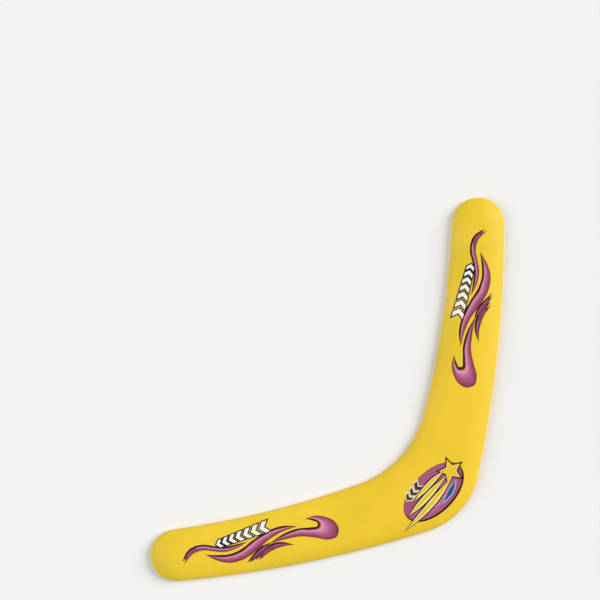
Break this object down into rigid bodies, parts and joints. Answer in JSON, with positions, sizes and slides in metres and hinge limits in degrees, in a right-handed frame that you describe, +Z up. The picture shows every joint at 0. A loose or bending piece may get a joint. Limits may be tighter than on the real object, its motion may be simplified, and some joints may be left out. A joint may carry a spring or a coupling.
{
  "type": "toy boomerang",
  "caption": "V-shaped throwing boomerang: a crowned moulded shell with an open ribbed underside, flame transfers on both arms and an oval badge at the elbow.",
  "frame": {"origin": "middle of the footprint in plan, on the plane that the rim rests on", "axes": "+X from the left tip to the right tip, +Y towards the elbow, +Z up out of the printed face"},
  "size_m": [0.35, 0.144, 0.0092],
  "materials": {
    "yellow_shell": "moulded polypropylene with a soft gloss",
    "purple_ink": "glossy transfer ink",
    "dark_ink": "glossy transfer ink",
    "white_ink": "glossy transfer ink",
    "yellow_ink": "glossy transfer ink",
    "blue_ink": "glossy transfer ink",
    "pale_blue_ink": "glossy transfer ink"
  },
  "bodies": {
    "root": {"moulded_shell": "yellow_shell", "right_flame_ink": "purple_ink", "right_flame_key_line": "dark_ink", "right_chevron_ink": "white_ink", "right_chevron_outline": "dark_ink", "left_flame_ink": "purple_ink", "left_flame_key_line": "dark_ink", "left_chevron_ink": "white_ink", "left_chevron_outline": "dark_ink", "badge_field_ink": "purple_ink", "badge_key_line": "dark_ink", "badge_star_ink": "yellow_ink", "badge_chevron_ink": "white_ink", "badge_chevron_outline": "dark_ink", "badge_swoosh_ink": "blue_ink", "badge_swoosh_outline": "pale_blue_ink"}
  },
  "joints": []
}
